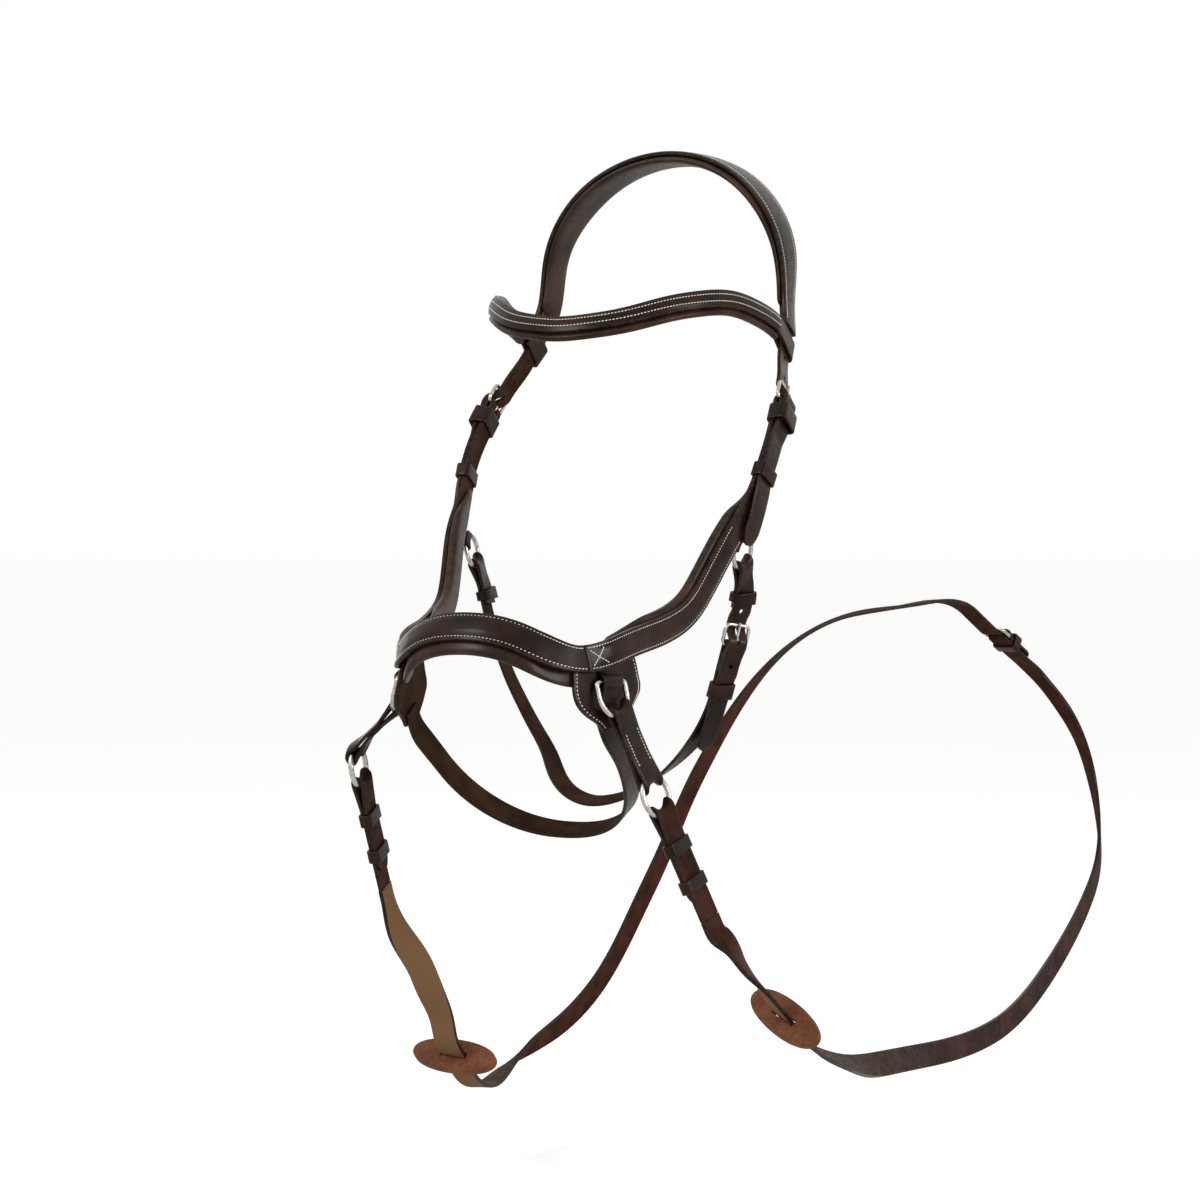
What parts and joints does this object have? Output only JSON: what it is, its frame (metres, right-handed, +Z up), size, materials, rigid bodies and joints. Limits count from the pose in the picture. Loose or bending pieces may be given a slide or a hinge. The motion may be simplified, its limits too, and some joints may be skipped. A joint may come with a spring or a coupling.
{
  "type": "bitless bridle",
  "caption": "Bitless bridle: padded noseband with side dees, cheek arms, crown and browband, buckled jaw strap, and reins on connector straps with rings and leather stops.",
  "frame": {"origin": "centre of the underside of the crown pad, where the bridle rests over the poll", "axes": "+Z up, -Y to the front along the wearer's nose, +X to the wearer's left, the near side with the jaw buckle"},
  "size_m": [0.3065, 1.0859, 0.6768],
  "materials": {
    "browband": "smooth bridle leather",
    "browband_pad": "soft padded leather",
    "chin_strap": "smooth bridle leather",
    "crown_pad": "soft padded leather",
    "crown_strap": "smooth bridle leather",
    "jaw_billet": "smooth bridle leather",
    "jaw_buckle_frame": "polished nickel plate",
    "jaw_buckle_tongue": "polished nickel plate",
    "jaw_sliding_keeper": "smooth bridle leather",
    "jaw_strap": "smooth bridle leather",
    "left_cheek_arm": "smooth bridle leather",
    "left_cheek_billet": "smooth bridle leather",
    "left_cheek_buckle_frame": "polished nickel plate",
    "left_cheek_buckle_tongue": "polished nickel plate",
    "left_cheek_fixed_keeper": "smooth bridle leather",
    "left_cheek_pad": "soft padded leather",
    "left_cheek_sliding_keeper": "smooth bridle leather",
    "left_connector_strap": "smooth bridle leather",
    "left_dee_ring": "polished nickel plate",
    "left_dee_tab": "smooth bridle leather",
    "left_jaw_fixed_keeper": "smooth bridle leather",
    "left_jaw_ring": "polished nickel plate",
    "left_jaw_ring_tab": "smooth bridle leather",
    "left_rein": "smooth bridle leather",
    "left_rein_end": "smooth bridle leather",
    "left_rein_lower_keeper": "smooth bridle leather",
    "left_rein_ring": "polished nickel plate",
    "left_rein_stop": "tan leather, waxed edge",
    "left_rein_upper_keeper": "smooth bridle leather",
    "left_side_patch": "smooth bridle leather",
    "nose_pad": "soft padded leather",
    "nose_strap": "smooth bridle leather",
    "rein_buckle_frame": "polished nickel plate",
    "rein_buckle_keeper": "smooth bridle leather",
    "rein_buckle_tongue": "polished nickel plate",
    "right_cheek_arm": "smooth bridle leather",
    "right_cheek_billet": "smooth bridle leather",
    "right_cheek_buckle_frame": "polished nickel plate",
    "right_cheek_buckle_tongue": "polished nickel plate",
    "right_cheek_fixed_keeper": "smooth bridle leather",
    "right_cheek_pad": "soft padded leather",
    "right_cheek_sliding_keeper": "smooth bridle leather",
    "right_connector_strap": "smooth bridle leather",
    "right_dee_ring": "polished nickel plate",
    "right_dee_tab": "smooth bridle leather",
    "right_jaw_fixed_keeper": "smooth bridle leather",
    "right_jaw_ring": "polished nickel plate",
    "right_jaw_ring_tab": "smooth bridle leather",
    "right_rein": "smooth bridle leather",
    "right_rein_end": "smooth bridle leather",
    "right_rein_lower_keeper": "smooth bridle leather",
    "right_rein_ring": "polished nickel plate",
    "right_rein_stop": "tan leather, waxed edge",
    "right_rein_upper_keeper": "smooth bridle leather",
    "right_side_patch": "smooth bridle leather"
  },
  "bodies": {
    "headstall": {"browband": "browband", "browband_pad": "browband_pad", "chin_strap": "chin_strap", "crown_pad": "crown_pad", "crown_strap": "crown_strap", "jaw_billet": "jaw_billet", "jaw_buckle_frame": "jaw_buckle_frame", "jaw_strap": "jaw_strap", "left_cheek_arm": "left_cheek_arm", "left_cheek_billet": "left_cheek_billet", "left_cheek_buckle_frame": "left_cheek_buckle_frame", "left_cheek_fixed_keeper": "left_cheek_fixed_keeper", "left_cheek_pad": "left_cheek_pad", "left_dee_tab": "left_dee_tab", "left_jaw_fixed_keeper": "left_jaw_fixed_keeper", "left_jaw_ring_tab": "left_jaw_ring_tab", "left_rein": "left_rein", "left_side_patch": "left_side_patch", "nose_pad": "nose_pad", "nose_strap": "nose_strap", "rein_buckle_frame": "rein_buckle_frame", "rein_buckle_keeper": "rein_buckle_keeper", "right_cheek_arm": "right_cheek_arm", "right_cheek_billet": "right_cheek_billet", "right_cheek_buckle_frame": "right_cheek_buckle_frame", "right_cheek_fixed_keeper": "right_cheek_fixed_keeper", "right_cheek_pad": "right_cheek_pad", "right_dee_tab": "right_dee_tab", "right_jaw_fixed_keeper": "right_jaw_fixed_keeper", "right_jaw_ring_tab": "right_jaw_ring_tab", "right_rein": "right_rein", "right_side_patch": "right_side_patch"},
    "left_cheek_tongue": {"left_cheek_buckle_tongue": "left_cheek_buckle_tongue"},
    "left_cheek_keeper": {"left_cheek_sliding_keeper": "left_cheek_sliding_keeper"},
    "left_hanger": {"left_dee_ring": "left_dee_ring", "left_connector_strap": "left_connector_strap", "left_rein_end": "left_rein_end", "left_rein_upper_keeper": "left_rein_upper_keeper", "left_rein_lower_keeper": "left_rein_lower_keeper"},
    "left_rein_ring": {"left_rein_ring": "left_rein_ring"},
    "left_jaw_ring": {"left_jaw_ring": "left_jaw_ring"},
    "right_cheek_tongue": {"right_cheek_buckle_tongue": "right_cheek_buckle_tongue"},
    "right_cheek_keeper": {"right_cheek_sliding_keeper": "right_cheek_sliding_keeper"},
    "right_hanger": {"right_dee_ring": "right_dee_ring", "right_connector_strap": "right_connector_strap", "right_rein_end": "right_rein_end", "right_rein_upper_keeper": "right_rein_upper_keeper", "right_rein_lower_keeper": "right_rein_lower_keeper"},
    "right_rein_ring": {"right_rein_ring": "right_rein_ring"},
    "right_jaw_ring": {"right_jaw_ring": "right_jaw_ring"},
    "jaw_tongue": {"jaw_buckle_tongue": "jaw_buckle_tongue"},
    "jaw_keeper": {"jaw_sliding_keeper": "jaw_sliding_keeper"},
    "rein_tongue": {"rein_buckle_tongue": "rein_buckle_tongue"},
    "left_rein_stop": {"left_rein_stop": "left_rein_stop"},
    "right_rein_stop": {"right_rein_stop": "right_rein_stop"}
  },
  "joints": [
    {"name": "left_cheek_tongue_turn", "type": "hinge", "parent": "headstall", "child": "left_cheek_tongue", "pos_m": [0.11159, -0.06692, -0.1721], "axis": [0.0585, 0.7668, -0.6392], "range_deg": [0, 8]},
    {"name": "left_cheek_keeper_slide", "type": "slide", "parent": "headstall", "child": "left_cheek_keeper", "axis": [-0.0781, -0.4864, -0.8702], "range_m": [-0.004, 0]},
    {"name": "left_dee_swing", "type": "hinge", "parent": "headstall", "child": "left_hanger", "pos_m": [0.07579, -0.2636, -0.35395], "axis": [-0.2428, -0.9701, -0.0061], "range_deg": [0, 90]},
    {"name": "left_rein_ring_turn", "type": "hinge", "parent": "left_hanger", "child": "left_rein_ring", "pos_m": [0.09959, -0.24492, -0.4281], "axis": [0.9408, -0.237, 0.2423], "continuous": true},
    {"name": "left_jaw_ring_turn", "type": "hinge", "parent": "headstall", "child": "left_jaw_ring", "pos_m": [0.103, -0.11563, -0.27221], "axis": [0.9754, -0.1187, -0.1856], "continuous": true},
    {"name": "right_cheek_tongue_turn", "type": "hinge", "parent": "headstall", "child": "right_cheek_tongue", "pos_m": [-0.11159, -0.06692, -0.1721], "axis": [0.0585, -0.7668, 0.6392], "range_deg": [0, 8]},
    {"name": "right_cheek_keeper_slide", "type": "slide", "parent": "headstall", "child": "right_cheek_keeper", "axis": [0.0781, -0.4864, -0.8702], "range_m": [-0.004, 0]},
    {"name": "right_dee_swing", "type": "hinge", "parent": "headstall", "child": "right_hanger", "pos_m": [-0.07579, -0.2636, -0.35395], "axis": [-0.2428, 0.9701, 0.0061], "range_deg": [0, 90]},
    {"name": "right_rein_ring_turn", "type": "hinge", "parent": "right_hanger", "child": "right_rein_ring", "pos_m": [-0.11629, -0.25205, -0.4153], "axis": [0.9868, 0.1261, 0.1018], "continuous": true},
    {"name": "right_jaw_ring_turn", "type": "hinge", "parent": "headstall", "child": "right_jaw_ring", "pos_m": [-0.103, -0.11563, -0.27221], "axis": [-0.9754, -0.1187, -0.1856], "continuous": true},
    {"name": "jaw_tongue_turn", "type": "hinge", "parent": "headstall", "child": "jaw_tongue", "pos_m": [0.09105, -0.1029, -0.3358], "axis": [0.0125, 0.9999, 0.0048], "range_deg": [0, 8]},
    {"name": "jaw_keeper_slide", "type": "slide", "parent": "headstall", "child": "jaw_keeper", "axis": [-0.3618, 0.2226, -0.9053], "range_m": [-0.001, 0.004]},
    {"name": "rein_tongue_turn", "type": "hinge", "parent": "headstall", "child": "rein_tongue", "pos_m": [0.00422, 0.66101, -0.35606], "axis": [-0.9745, 0.2244, -0.004], "range_deg": [0, 8]},
    {"name": "left_rein_stop_slide", "type": "slide", "parent": "headstall", "child": "left_rein_stop", "axis": [0.0746, 0.8273, -0.5567], "range_m": [-0.012, 0.012]},
    {"name": "right_rein_stop_slide", "type": "slide", "parent": "headstall", "child": "right_rein_stop", "axis": [-0.0345, 0.7301, -0.6825], "range_m": [-0.012, 0.002]}
  ]
}
